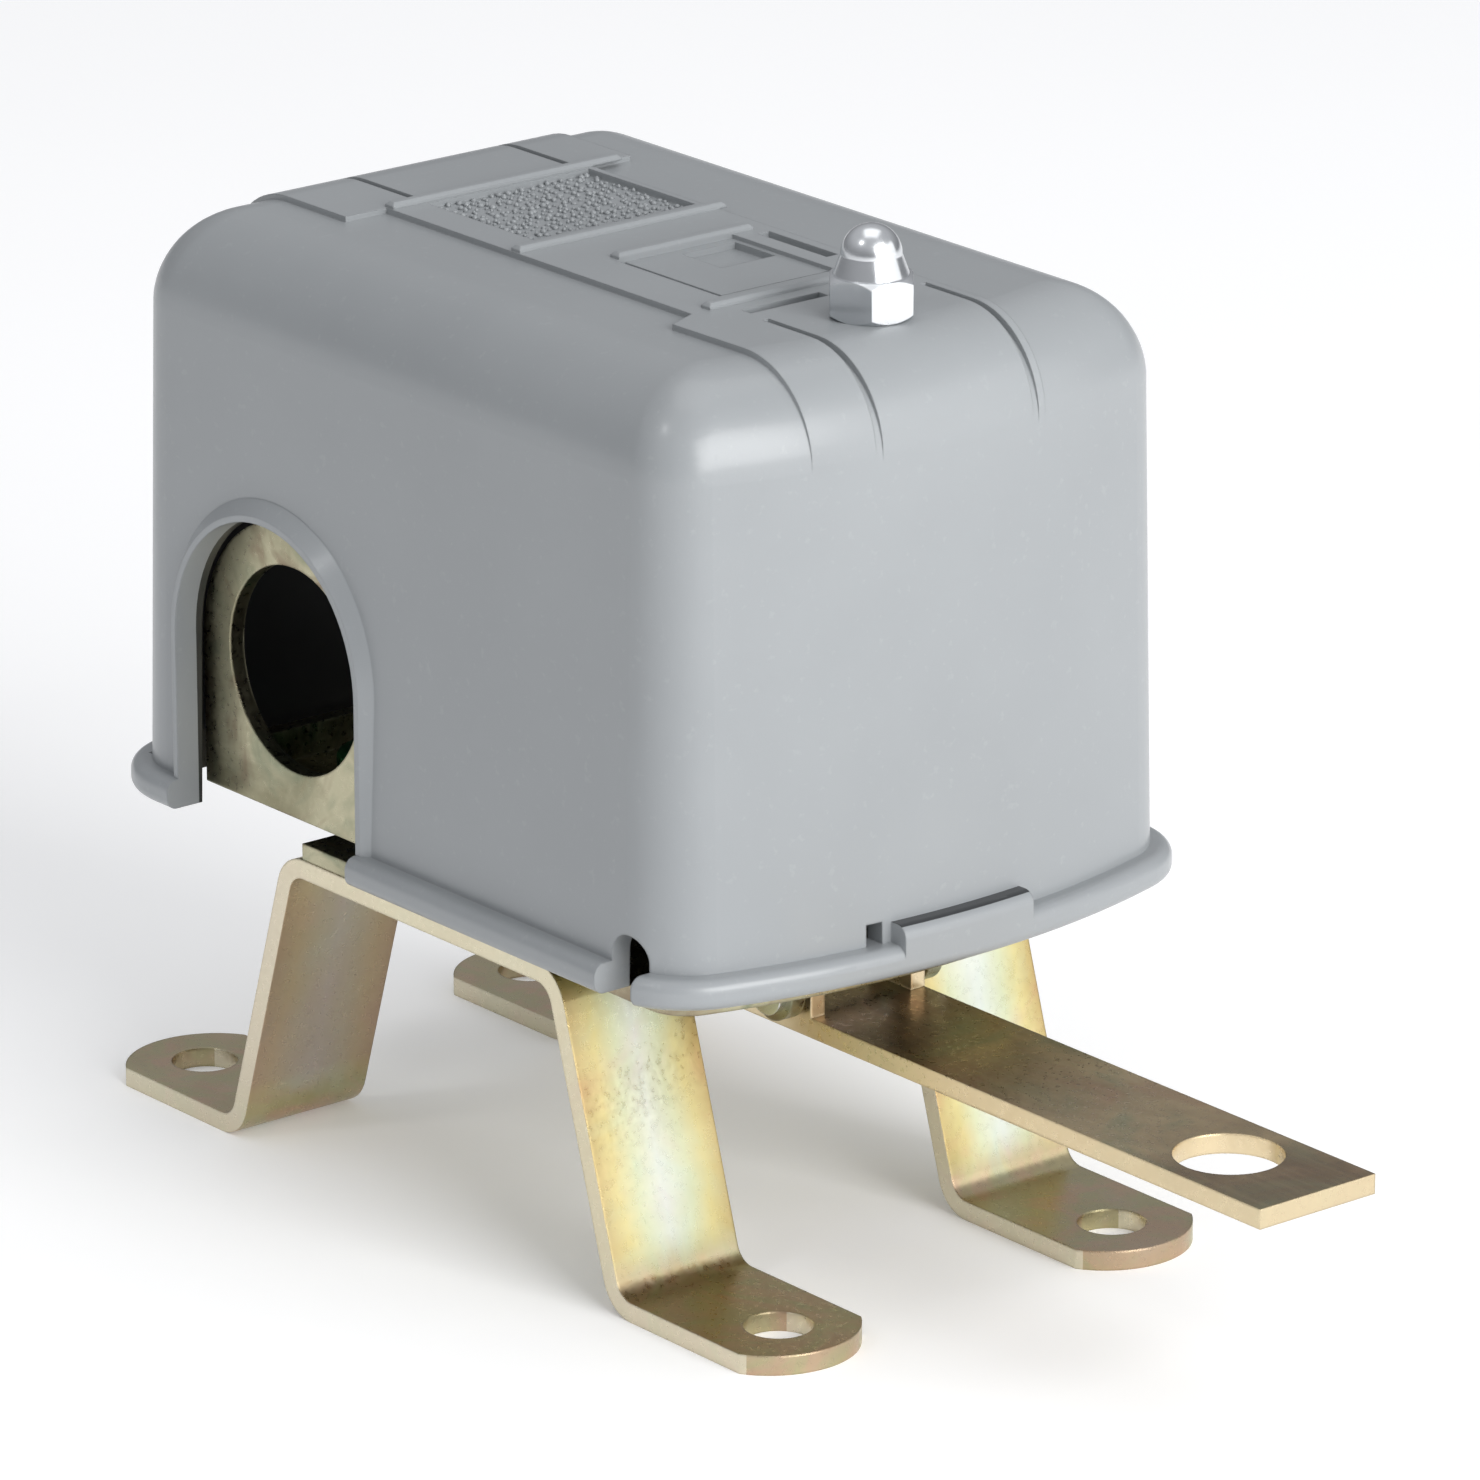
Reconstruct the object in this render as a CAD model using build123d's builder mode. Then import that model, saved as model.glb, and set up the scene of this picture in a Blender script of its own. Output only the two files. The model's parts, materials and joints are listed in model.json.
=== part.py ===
from build123d import *

import math
import os

# Lever-operated float switch on four sheet-metal feet. Millimetres, +Z up.
# The origin is on the floor, midway between the four foot holes. The lever arm
# comes out towards +X, and the two conduit walls face -Y and +Y at the rear.

# ---- driving dimensions ----------------------------------------------------

# Mounting straps: two bent strips that run along X, one on each side
strap_thickness = 2.1
strap_width = 15.8
strap_overhang = 0.05           # strap's outer edge beyond the floor plate's
strap_height = 34.5
strap_top_half = 22.2           # middle of the sheet, where the top meets a leg
leg_lean = 17.0                 # degrees off the vertical
bend_inner_radius = 2.4
foot_hole_spacing = 96.9
foot_hole_diameter = 7.14
foot_tip_overhang = 7.9         # from a foot hole's centre to the round tip
foot_end_sagitta = 4.4

# Base frame: floor plate, two side walls with conduit wings, ears and lugs
plate_thickness = 1.8
plate_side_gap = 1.1            # air between the cover's wall and the base frame
plate_rear = -19.7
tongue_half_width = 22.5
rear_flange_height = 3.6        # upturned end of the tongue, above the floor plate
side_wall_rear = -3.0
side_wall_front = 14.0
side_wall_height = 13.2         # above the floor plate
wing_gap = 2.5                  # air under the wing, above the floor plate
conduit_x = -20.6
conduit_rise = 18.6             # hole centre above the floor plate
conduit_diameter = 22.3
wing_radius = 15.7

# Lever arm and its pivot
lever_width = 15.0
lever_thickness = 2.1
lever_gap = 6.8                 # air between the arm and the floor plate
lever_inner_end = 13.5
lever_tip = 103.5
eye_x = 90.6
eye_diameter = 11.1
pivot_x = 32.5
pivot_drop = 4.0                # pivot axis below the floor plate
pivot_pin_diameter = 3.2
ear_thickness = 1.8
lug_gap = 0.7                   # side play between an ear and a lug
push_pin_x = 22.5
push_pin_diameter = 4.0

# Operating plate, the hinged channel that the lever lifts
channel_side_gap = 2.1          # air between a hinge pin head and the block's cheek
channel_rear = -9.0
channel_front = 42.0
channel_floor_gap = 3.2         # air between the floor plate and the channel
channel_flange = 2.9
channel_flange_front = 24.0
hinge_x = -6.0
hinge_rise = 6.7                # hinge axis above the floor plate's top
hinge_pin_diameter = 3.0

# Range stud, its spring and nut
stud_x = 35.8
stud_diameter = 6.0
stud_neck_diameter = 4.2
stud_neck_length = 16.4         # thin end below the cover's panel
range_spring_height = 29.0
range_coil_radius = 6.2
range_wire = 1.9
range_turns = 7.5

# Differential stud, its spring and nut
differential_y = -12.4
differential_diameter = 3.6
differential_spring_height = 14.0
differential_coil_radius = 2.9
differential_wire = 1.1
differential_turns = 7.5

# Contact block, terminals and contacts
block_rear = -13.0
block_front = 8.0
block_side_gap = 0.6            # air between the block and a side wall
block_rise = 17.2               # air between the floor plate and the shelf
shelf_thickness = 4.9
block_cap_height = 8.6
block_end_wall = 2.8            # from the last barrier's middle to the block's end
terminal_count = 4
terminal_side_gap = 1.2         # from a terminal plate to the barrier beside it
terminal_thickness = 1.2
contact_x = 2.0
contact_radius = 2.2
contact_height = 1.2
terminal_screw_x = -8.2
barrier_thickness = 2.0
barrier_drop = 1.8              # barrier tops below the block's top

# Contact arm, the insulating rocker that carries the moving contacts
rocker_pivot_x = 22.0
rocker_pivot_rise = 14.0        # above the floor plate
rocker_side_gap = 1.0
rocker_thickness = 3.0
rocker_rear = -2.5
rocker_front = 25.0
rocker_pin_diameter = 3.0
contact_travel = 2.09           # rise of a moving contact over the full swing
contact_air = 0.3               # left over when the contacts are closed

# Cover
cover_rise = 0.5                # rim above the floor plate's top
cover_height = 63.0
cover_half_width = 33.4
cover_rear = -46.8
cover_front = 49.8
cover_bow_radius = 95.0
cover_corner_radius = 8.0
cover_top_fillet = 10.0
cover_draft = 1.2               # degrees
cover_wall = 2.3
rim_height = 3.2
rim_reach = 2.2
arch_cover = 0.35               # how far the wing reaches behind the arch's edge
arch_lip = 2.2
arch_offset_x = 0.3             # arch centre from the conduit hole's centre
arch_offset_z = 1.2
panel_rise = 0.6

rim_round = 1.3
rim_foot_round = 1.2
front_tab_half = 8.4
front_tab_rise = 2.1
lip_stand = 0.8
lip_bevel = 1.5
arch_cut = 7.0
notch_x = 38.6
notch_radius = 2.55
notch_height = 6.5
notch_cut = 8.0
vent_y = -10.4
vent_width = 1.9
vent_height = 2.3
cover_hole_play = 0.4
side_seat_x = 25.0
front_seat_back = 4.3           # from the front wall to the seat's rear edge
front_seat_y = 20.0
front_seat_length = 3.0
seat_width = 2.4
seat_reach = 1.0
seat_overlap = 0.6
seat_height = 22.0
groove_start_xs = (30.5, 30.5)
groove_ys = (-9.2, 11.2)
groove_width = 0.8
groove_depth = 0.8
rear_groove_end = -26.0
rear_groove_depth = 1.2
ridge_width = 1.4
ridge_height = 0.6
ridge_bevel = 0.35
ridges = ((-25.3, 1.5, 30.0), (-4.2, 0.0, 27.0), (4.0, 1.6, 17.6), (23.9, -2.0, 19.0))
label_x = -15.4
label_y = 1.2
label_length = 17.6
label_width = 21.2
label_depth = 0.7
pocket_x = 13.0
pocket_y = 0.0
pocket_length = 16.6
pocket_width = 15.2
pocket_depth = 0.4
pocket_groove_width = 1.2
pocket_groove_depth = 1.2
dimple_x = 9.2
dimple_y = 3.4
dimple_length = 6.4
dimple_width = 7.0
dimple_depth = 1.1
side_slot_x = 11.6
side_slot_y = 10.5
side_slot_length = 11.0
cross_slot_x = 27.2
cross_slot_y = -4.0
cross_slot_length = 10.0
top_slot_width = 1.5
top_slot_depth = 1.2
panel_depth = 12.4              # down to where the panel has faded into the wall
panel_rear_inset = 3.3
panel_step_x = -25.5
panel_jog_xs = (24.4, 26.0)     # where the near border steps outwards
panel_front_run = 2.2
panel_rear_ys = (-19.0, 18.4)
panel_step_ys = (-13.7, 12.6)
panel_jog_y = -17.4
panel_front_y = -16.8

# Acorn nut
acorn_flats = 8.3
acorn_hex_height = 4.3
acorn_shoulder_diameter = 7.7
acorn_dome_diameter = 6.2
acorn_height = 9.4
acorn_cone = 0.6
acorn_turn = 21.0               # degrees
acorn_crown = 2.4               # solid end of the dome above the stud

# Fasteners and clearances
rivet_diameter = 3.6
rivet_head_diameter = 6.0
rivet_head_height = 1.6
rivet_x = 16.2
block_screw_x = 0.8
block_screw_diameter = 3.0
ground_screw_x = -34.0
ground_screw_y = 10.0
ground_screw_diameter = 4.0
running_play = 0.05             # radial, pin in a turning hole
fit_play = 0.02                 # radial, screw or rivet in its own hole
loose_play = 1.5                # radial, stud through a moving hole

ear_round = 3.4
lug_round = 3.3
ear_top_round = 3.2
pin_head_step = 0.9
pin_head_height = 0.9
push_pin_shank = 3.0
push_pin_air = 0.05             # under the channel, at rest
lever_end_round = 3.0
channel_eye_round = 3.2
stud_chamfer = 0.5
washer_thickness = 1.2
range_washer_diameter = 15.6
range_nut_flats = 11.0
range_nut_height = 5.0
differential_washer_diameter = 7.6
differential_nut_flats = 6.4
differential_nut_height = 3.0
differential_stud_tail = 4.0
nut_chamfer = 0.3
pocket_rear = -3.5
terminal_front = 5.5
block_round = 1.2
cap_lap = 1.0                   # how far the cap stands over the shelf
block_leg_length = 8.5
block_foot_front = 4.4
block_foot_height = 2.8
block_screw_inset = 2.55         # from the block's side to a foot screw
bridge_side_gap = 0.9           # from a contact bridge's end to a cheek
rocker_ear_round = 3.6
terminal_screw_diameter = 3.4
terminal_screw_depth = 4.0
terminal_head_diameter = 6.6
terminal_head_height = 2.4
block_head_diameter = 5.4
block_head_height = 2.0
ground_head_diameter = 7.6
ground_head_height = 2.6
ground_screw_tail = 2.2
screw_tip_air = 0.3
screw_head_roundness = 0.45
slot_reach = 0.62
slot_width = 1.0
clamp_length = 6.8
clamp_width = 7.2
clamp_thickness = 0.9
clamp_round = 0.8
contact_edge_round = 0.5
bridge_thickness = 0.8
bridge_width = 5.0
bridge_margin = 1.6
bridge_round = 0.9
peg_diameter = 1.8
peg_stand = 0.5
contact_coil_radius = 1.5
contact_wire = 0.3
contact_turns = 2.0
rocker_window_y = 9.0
rocker_window_length = 9.0
rocker_window_width = 9.0
toggle_x = 12.0
toggle_coil_radius = 2.4
toggle_wire = 0.7
toggle_turns = 4.5

# ---- levels that follow from them ------------------------------------------

plate_top = strap_height + plate_thickness
cover_bottom = plate_top + cover_rise
cover_top = cover_bottom + cover_height
panel_top = cover_top + panel_rise
panel_foot = panel_top - panel_depth
plate_half_width = cover_half_width - cover_wall - plate_side_gap
side_wall_top = plate_top + side_wall_height
wing_bottom = plate_top + wing_gap
conduit_z = plate_top + conduit_rise
arch_radius = wing_radius - arch_cover
arch_x = conduit_x + arch_offset_x
arch_z = conduit_z + arch_offset_z
notch_top = cover_bottom + notch_height
front_seat_x = cover_front - cover_wall - front_seat_back
strap_y = plate_half_width + strap_overhang - strap_width / 2
strap_spacing = 2 * strap_y

pivot_z = strap_height - pivot_drop
arm_top = strap_height - lever_gap
arm_bottom = arm_top - lever_thickness
lug_half_width = lever_width / 2 + lug_gap + ear_thickness

block_half_width = plate_half_width - plate_thickness - block_side_gap
terminal_pitch = (block_half_width - block_end_wall) / (terminal_count / 2)
bridge_reach = terminal_pitch * (terminal_count - 1) / 2 + contact_radius + bridge_margin / 2
cheek_inner = bridge_reach + bridge_side_gap
cheek_thickness = block_half_width - cheek_inner
block_bottom = plate_top + block_rise
shelf_height = block_bottom + shelf_thickness
block_top = shelf_height + block_cap_height
block_screw_y = block_half_width - block_screw_inset
terminal_width = terminal_pitch - barrier_thickness - 2 * terminal_side_gap
terminal_ys = [(number - (terminal_count - 1) / 2) * terminal_pitch for number in range(terminal_count)]
barrier_ys = [(number - terminal_count / 2) * terminal_pitch for number in range(terminal_count + 1)]
terminal_top = shelf_height + terminal_thickness
fixed_contact_face = shelf_height - contact_height
rocker_pivot_z = plate_top + rocker_pivot_rise
rocker_half_width = cheek_inner - rocker_side_gap

channel_half_width = cheek_inner - channel_side_gap - pin_head_height - plate_thickness - lug_gap
channel_bottom = plate_top + channel_floor_gap
channel_top = channel_bottom + plate_thickness
hinge_z = plate_top + hinge_rise
push_pin_top = channel_bottom - push_pin_air
range_spring_top = channel_top + range_spring_height
differential_spring_top = channel_top + differential_spring_height
stud_shoulder = panel_top - stud_neck_length
stud_top = panel_top + acorn_height - acorn_crown
differential_stud_top = (
    differential_spring_top + washer_thickness + differential_nut_height + differential_stud_tail
)

os.makedirs("parts", exist_ok=True)


def save(piece, name):
    """Label one finished piece and write it as its own STEP file."""
    piece.label = name
    export_step(piece, "parts/" + name + ".step")


# ---- mounting straps -------------------------------------------------------


def strap(side):
    """One bent strip with a foot at each end; side is -1 or +1 along Y."""
    middle = strap_thickness / 2
    rise = strap_height - strap_thickness
    run = rise * math.tan(math.radians(leg_lean))
    tip = foot_hole_spacing / 2 + foot_tip_overhang
    shoulder = tip - foot_end_sagitta
    half = strap_width / 2
    right_side = [
        (strap_top_half, strap_height - middle),
        (strap_top_half + run, middle),
        (tip + strap_width, middle),
    ]
    left_side = [(-x, z) for x, z in reversed(right_side)]
    with BuildPart() as strip:
        with BuildSketch(Plane.XZ.offset(-side * strap_y)):
            with BuildLine():
                bent = FilletPolyline(*left_side, *right_side, radius=bend_inner_radius + middle)
            trace(bent, line_width=strap_thickness)
        extrude(amount=half, both=True)
        with BuildSketch(Plane.XY):
            with Locations((0, side * strap_y)):
                Rectangle(2 * shoulder, strap_width)
            for end in (-1, 1):
                with BuildLine():
                    ThreePointArc(
                        (end * shoulder, side * strap_y - half),
                        (end * tip, side * strap_y),
                        (end * shoulder, side * strap_y + half),
                    )
                    Line(
                        (end * shoulder, side * strap_y + half),
                        (end * shoulder, side * strap_y - half),
                    )
                make_face()
        extrude(amount=strap_height, mode=Mode.INTERSECT)
        with BuildSketch(Plane.XY):
            with Locations((0, side * strap_y)):
                with GridLocations(foot_hole_spacing, 0, 2, 1):
                    Circle(foot_hole_diameter / 2)
                with GridLocations(2 * rivet_x, 0, 2, 1):
                    Circle(rivet_diameter / 2 + fit_play)
        extrude(amount=strap_height, mode=Mode.SUBTRACT)
    return strip


left_strap = strap(-1)
save(left_strap.part, "left_mounting_strap")
right_strap = strap(1)
save(right_strap.part, "right_mounting_strap")

# ---- base frame ------------------------------------------------------------


def plan_outline(inset):
    """Plan shape of the cover: straight back and sides, bowed front, round corners."""
    half = cover_half_width - inset
    bow = cover_bow_radius - inset
    rear = cover_rear + inset
    front = cover_front - inset
    corner_x = front - bow + math.sqrt(bow**2 - half**2)
    with BuildSketch() as outline:
        with BuildLine():
            Polyline((corner_x, half), (rear, half), (rear, -half), (corner_x, -half))
            ThreePointArc((corner_x, -half), (front, 0), (corner_x, half))
        make_face()
        fillet(outline.vertices(), radius=cover_corner_radius - inset)
    return outline.sketch


plate_inset = cover_half_width - plate_half_width
wing_rear = conduit_x - wing_radius
base_shape = plan_outline(plate_inset)

with BuildPart() as base_frame:
    # Floor plate, full width in front and a narrower tongue behind
    with BuildSketch(Plane.XY.offset(strap_height)):
        add(base_shape)
        with Locations((plate_rear, 0)):
            Rectangle(
                plate_rear - cover_rear,
                2 * plate_half_width,
                align=(Align.MAX, Align.CENTER),
                mode=Mode.SUBTRACT,
            )
        with Locations((plate_rear, 0)):
            Rectangle(
                plate_rear - cover_rear - plate_inset,
                2 * tongue_half_width,
                align=(Align.MAX, Align.CENTER),
            )
        with Locations((push_pin_x, 0)):
            Circle(push_pin_diameter / 2 + loose_play, mode=Mode.SUBTRACT)
        with Locations((stud_x, 0)):
            Circle(stud_diameter / 2 + fit_play, mode=Mode.SUBTRACT)
        with Locations((stud_x, differential_y)):
            Circle(differential_diameter / 2 + fit_play, mode=Mode.SUBTRACT)
        with GridLocations(2 * rivet_x, strap_spacing, 2, 2):
            Circle(rivet_diameter / 2 + fit_play, mode=Mode.SUBTRACT)
        with Locations((block_screw_x, 0)):
            with GridLocations(0, 2 * block_screw_y, 1, 2):
                Circle(block_screw_diameter / 2 + fit_play, mode=Mode.SUBTRACT)
        with Locations((ground_screw_x, 0)):
            with GridLocations(0, 2 * ground_screw_y, 1, 2):
                Circle(ground_screw_diameter / 2 + fit_play, mode=Mode.SUBTRACT)
    extrude(amount=plate_thickness)
    # Side walls, each with an arch-topped conduit wing that reaches rearwards
    for side in (-1, 1):
        face = side * plate_half_width
        with BuildSketch(Plane.XZ.offset(-face)):
            with Locations((side_wall_rear, strap_height)):
                Rectangle(
                    side_wall_front - side_wall_rear,
                    side_wall_top - strap_height,
                    align=(Align.MIN, Align.MIN),
                )
            with Locations((wing_rear, wing_bottom)):
                Rectangle(
                    side_wall_rear - wing_rear,
                    side_wall_top - wing_bottom,
                    align=(Align.MIN, Align.MIN),
                )
                Rectangle(2 * wing_radius, conduit_z - wing_bottom, align=(Align.MIN, Align.MIN))
            with Locations((conduit_x, conduit_z)):
                Circle(wing_radius)
                Circle(conduit_diameter / 2, mode=Mode.SUBTRACT)
        extrude(amount=side * plate_thickness)
    # Upturned flange at the rear end of the tongue
    with BuildSketch(Plane.XY.offset(plate_top)):
        with Locations((cover_rear + plate_inset, 0)):
            Rectangle(plate_thickness, 2 * tongue_half_width, align=(Align.MIN, Align.CENTER))
    extrude(amount=rear_flange_height)
    # Ears for the channel's hinge pin
    for side in (-1, 1):
        with BuildSketch(Plane.XZ.offset(-side * (channel_half_width + lug_gap))):
            with Locations((hinge_x, hinge_z)):
                Circle(ear_round)
            with Locations((hinge_x, plate_top)):
                Rectangle(2 * ear_round, hinge_rise, align=(Align.CENTER, Align.MIN))
            with Locations((hinge_x, hinge_z)):
                Circle(hinge_pin_diameter / 2 + fit_play, mode=Mode.SUBTRACT)
        extrude(amount=-side * plate_thickness)
    # Lugs under the plate for the lever's pivot pin
    for side in (-1, 1):
        with BuildSketch(Plane.XZ.offset(-side * (lug_half_width - ear_thickness))):
            with Locations((pivot_x, pivot_z)):
                Circle(lug_round)
            with Locations((pivot_x, strap_height)):
                Rectangle(2 * lug_round, strap_height - pivot_z, align=(Align.CENTER, Align.MAX))
            with Locations((pivot_x, pivot_z)):
                Circle(pivot_pin_diameter / 2 + fit_play, mode=Mode.SUBTRACT)
        extrude(amount=-side * ear_thickness)
save(base_frame.part, "base_frame")

with BuildPart() as strap_rivets:
    with GridLocations(2 * rivet_x, strap_spacing, 2, 2):
        with Locations((0, 0, plate_top)):
            Cylinder(
                rivet_head_diameter / 2,
                rivet_head_height,
                align=(Align.CENTER, Align.CENTER, Align.MIN),
            )
    fillet(strap_rivets.edges().group_by(Axis.Z)[-1], radius=rivet_head_height / 2)
    with GridLocations(2 * rivet_x, strap_spacing, 2, 2):
        with Locations((0, 0, plate_top)):
            Cylinder(
                rivet_diameter / 2,
                plate_thickness + strap_thickness,
                align=(Align.CENTER, Align.CENTER, Align.MAX),
            )
save(strap_rivets.part, "strap_rivets")

# ---- lever arm -------------------------------------------------------------

with BuildPart() as lever_arm:
    with BuildSketch(Plane.XY.offset(arm_bottom)):
        with Locations((lever_inner_end, 0)):
            Rectangle(
                lever_tip - lever_inner_end, lever_width, align=(Align.MIN, Align.CENTER)
            )
        with Locations((eye_x, 0)):
            Circle(eye_diameter / 2, mode=Mode.SUBTRACT)
        with Locations((push_pin_x, 0)):
            Circle(push_pin_shank / 2 + fit_play, mode=Mode.SUBTRACT)
    extrude(amount=lever_thickness)
    fillet(lever_arm.edges().filter_by(Axis.Z).group_by(Axis.X)[0], radius=lever_end_round)
    # Two ears stand up from the arm's edges and turn on the pivot pin
    for side in (-1, 1):
        with BuildSketch(Plane.XZ.offset(-side * lever_width / 2)):
            with Locations((pivot_x, arm_bottom)):
                Rectangle(2 * lug_round, pivot_z - arm_bottom, align=(Align.CENTER, Align.MIN))
            with Locations((pivot_x, pivot_z)):
                Circle(ear_top_round)
                Circle(pivot_pin_diameter / 2 + running_play, mode=Mode.SUBTRACT)
        extrude(amount=side * ear_thickness)
save(lever_arm.part, "lever_arm")

with BuildPart() as lever_pivot_pin:
    with BuildSketch(Plane.XZ.offset(-lug_half_width)):
        with Locations((pivot_x, pivot_z)):
            Circle(pivot_pin_diameter / 2)
    extrude(amount=2 * lug_half_width)
    with BuildSketch(Plane.XZ.offset(lug_half_width)):
        with Locations((pivot_x, pivot_z)):
            Circle(pivot_pin_diameter / 2 + pin_head_step)
    extrude(amount=pin_head_height)
    with BuildSketch(Plane.XZ.offset(-lug_half_width)):
        with Locations((pivot_x, pivot_z)):
            Circle(pivot_pin_diameter / 2 + pin_head_step)
    extrude(amount=-pin_head_height)
save(lever_pivot_pin.part, "lever_pivot_pin")

with BuildPart() as lever_push_pin:
    with BuildSketch(Plane.XZ):
        with BuildLine():
            Polyline(
                (push_pin_x, arm_bottom),
                (push_pin_x + push_pin_shank / 2, arm_bottom),
                (push_pin_x + push_pin_shank / 2, arm_top),
                (push_pin_x + push_pin_diameter / 2, arm_top),
                (push_pin_x + push_pin_diameter / 2, push_pin_top - push_pin_diameter / 2),
            )
            RadiusArc(
                (push_pin_x + push_pin_diameter / 2, push_pin_top - push_pin_diameter / 2),
                (push_pin_x, push_pin_top),
                -push_pin_diameter / 2,
            )
            Line((push_pin_x, push_pin_top), (push_pin_x, arm_bottom))
        make_face()
    revolve(axis=Axis((push_pin_x, 0, 0), (0, 0, 1)))
save(lever_push_pin.part, "lever_push_pin")

# ---- operating channel -----------------------------------------------------

with BuildPart() as operating_channel:
    with BuildSketch(Plane.XY.offset(channel_bottom)):
        with Locations((channel_rear, 0)):
            Rectangle(
                channel_front - channel_rear,
                2 * channel_half_width,
                align=(Align.MIN, Align.CENTER),
            )
        with Locations((stud_x, 0)):
            Circle(stud_diameter / 2 + loose_play, mode=Mode.SUBTRACT)
        with Locations((stud_x, differential_y)):
            Circle(differential_diameter / 2 + loose_play, mode=Mode.SUBTRACT)
    extrude(amount=plate_thickness)
    for side in (-1, 1):
        with BuildSketch(Plane.XZ.offset(-side * channel_half_width)):
            with Locations((channel_rear, channel_bottom)):
                Rectangle(
                    channel_flange_front - channel_rear,
                    plate_thickness + channel_flange,
                    align=(Align.MIN, Align.MIN),
                )
            with Locations((hinge_x, hinge_z)):
                Circle(channel_eye_round)
                Circle(hinge_pin_diameter / 2 + running_play, mode=Mode.SUBTRACT)
        extrude(amount=side * plate_thickness)
save(operating_channel.part, "operating_channel")

ear_outer = channel_half_width + lug_gap + plate_thickness
with BuildPart() as channel_hinge_pin:
    with BuildSketch(Plane.XZ.offset(-ear_outer)):
        with Locations((hinge_x, hinge_z)):
            Circle(hinge_pin_diameter / 2)
    extrude(amount=2 * ear_outer)
    with BuildSketch(Plane.XZ.offset(ear_outer)):
        with Locations((hinge_x, hinge_z)):
            Circle(hinge_pin_diameter / 2 + pin_head_step)
    extrude(amount=pin_head_height)
    with BuildSketch(Plane.XZ.offset(-ear_outer)):
        with Locations((hinge_x, hinge_z)):
            Circle(hinge_pin_diameter / 2 + pin_head_step)
    extrude(amount=-pin_head_height)
save(channel_hinge_pin.part, "channel_hinge_pin")

# ---- studs, springs and adjusting nuts -------------------------------------


def coil_spring(x, y, foot, height, coil_radius, wire, turns):
    """A compression spring: a round wire swept along a helix, standing on foot."""
    start = foot + wire / 2
    rise = height - wire
    with BuildPart() as spring:
        with BuildLine(Plane.XY.offset(start).move(Location((x, y, 0)))):
            turn = Helix(pitch=rise / turns, height=rise, radius=coil_radius)
        with BuildSketch(Plane(origin=turn @ 0, z_dir=turn % 0)):
            Circle(wire / 2)
        sweep(path=turn, is_frenet=True)
    return spring


def adjusting_nut(x, y, seat, bore, flats, height):
    """A hexagon nut with its lower face at seat."""
    with BuildPart() as nut:
        with BuildSketch(Plane.XY.offset(seat)):
            with Locations((x, y)):
                RegularPolygon(flats / 2, 6, major_radius=False)
                Circle(bore / 2 + fit_play, mode=Mode.SUBTRACT)
        extrude(amount=height)
        chamfer(nut.faces().filter_by(Axis.Z).edges().filter_by(GeomType.CIRCLE), length=nut_chamfer)
    return nut


def spring_washer(x, y, seat, bore, outer, thickness):
    """A flat round washer that sits on a spring."""
    with BuildPart() as washer:
        with BuildSketch(Plane.XY.offset(seat)):
            with Locations((x, y)):
                Circle(outer / 2)
                Circle(bore / 2 + fit_play, mode=Mode.SUBTRACT)
        extrude(amount=thickness)
    return washer


with BuildPart() as range_stud:
    with BuildSketch(Plane.XY.offset(strap_height)):
        with Locations((stud_x, 0)):
            Circle(stud_diameter / 2)
    extrude(amount=stud_shoulder - strap_height)
    with BuildSketch(Plane.XY.offset(stud_shoulder)):
        with Locations((stud_x, 0)):
            Circle(stud_neck_diameter / 2)
    extrude(amount=stud_top - stud_shoulder)
    chamfer(range_stud.edges().group_by(Axis.Z)[-1], length=stud_chamfer)
save(range_stud.part, "range_stud")

range_spring = coil_spring(
    stud_x,
    0,
    channel_top,
    range_spring_height,
    range_coil_radius,
    range_wire,
    range_turns,
)
save(range_spring.part, "range_spring")
range_washer = spring_washer(
    stud_x, 0, range_spring_top, stud_diameter, range_washer_diameter, washer_thickness
)
save(range_washer.part, "range_washer")
range_nut = adjusting_nut(
    stud_x,
    0,
    range_spring_top + washer_thickness,
    stud_diameter,
    range_nut_flats,
    range_nut_height,
)
save(range_nut.part, "range_nut")

with BuildPart() as differential_stud:
    with BuildSketch(Plane.XY.offset(strap_height)):
        with Locations((stud_x, differential_y)):
            Circle(differential_diameter / 2)
    extrude(amount=differential_stud_top - strap_height)
    chamfer(differential_stud.edges().group_by(Axis.Z)[-1], length=stud_chamfer)
save(differential_stud.part, "differential_stud")

differential_spring = coil_spring(
    stud_x,
    differential_y,
    channel_top,
    differential_spring_height,
    differential_coil_radius,
    differential_wire,
    differential_turns,
)
save(differential_spring.part, "differential_spring")
differential_washer = spring_washer(
    stud_x,
    differential_y,
    differential_spring_top,
    differential_diameter,
    differential_washer_diameter,
    washer_thickness,
)
save(differential_washer.part, "differential_washer")
differential_nut = adjusting_nut(
    stud_x,
    differential_y,
    differential_spring_top + washer_thickness,
    differential_diameter,
    differential_nut_flats,
    differential_nut_height,
)
save(differential_nut.part, "differential_nut")

# ---- contact block ---------------------------------------------------------

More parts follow.
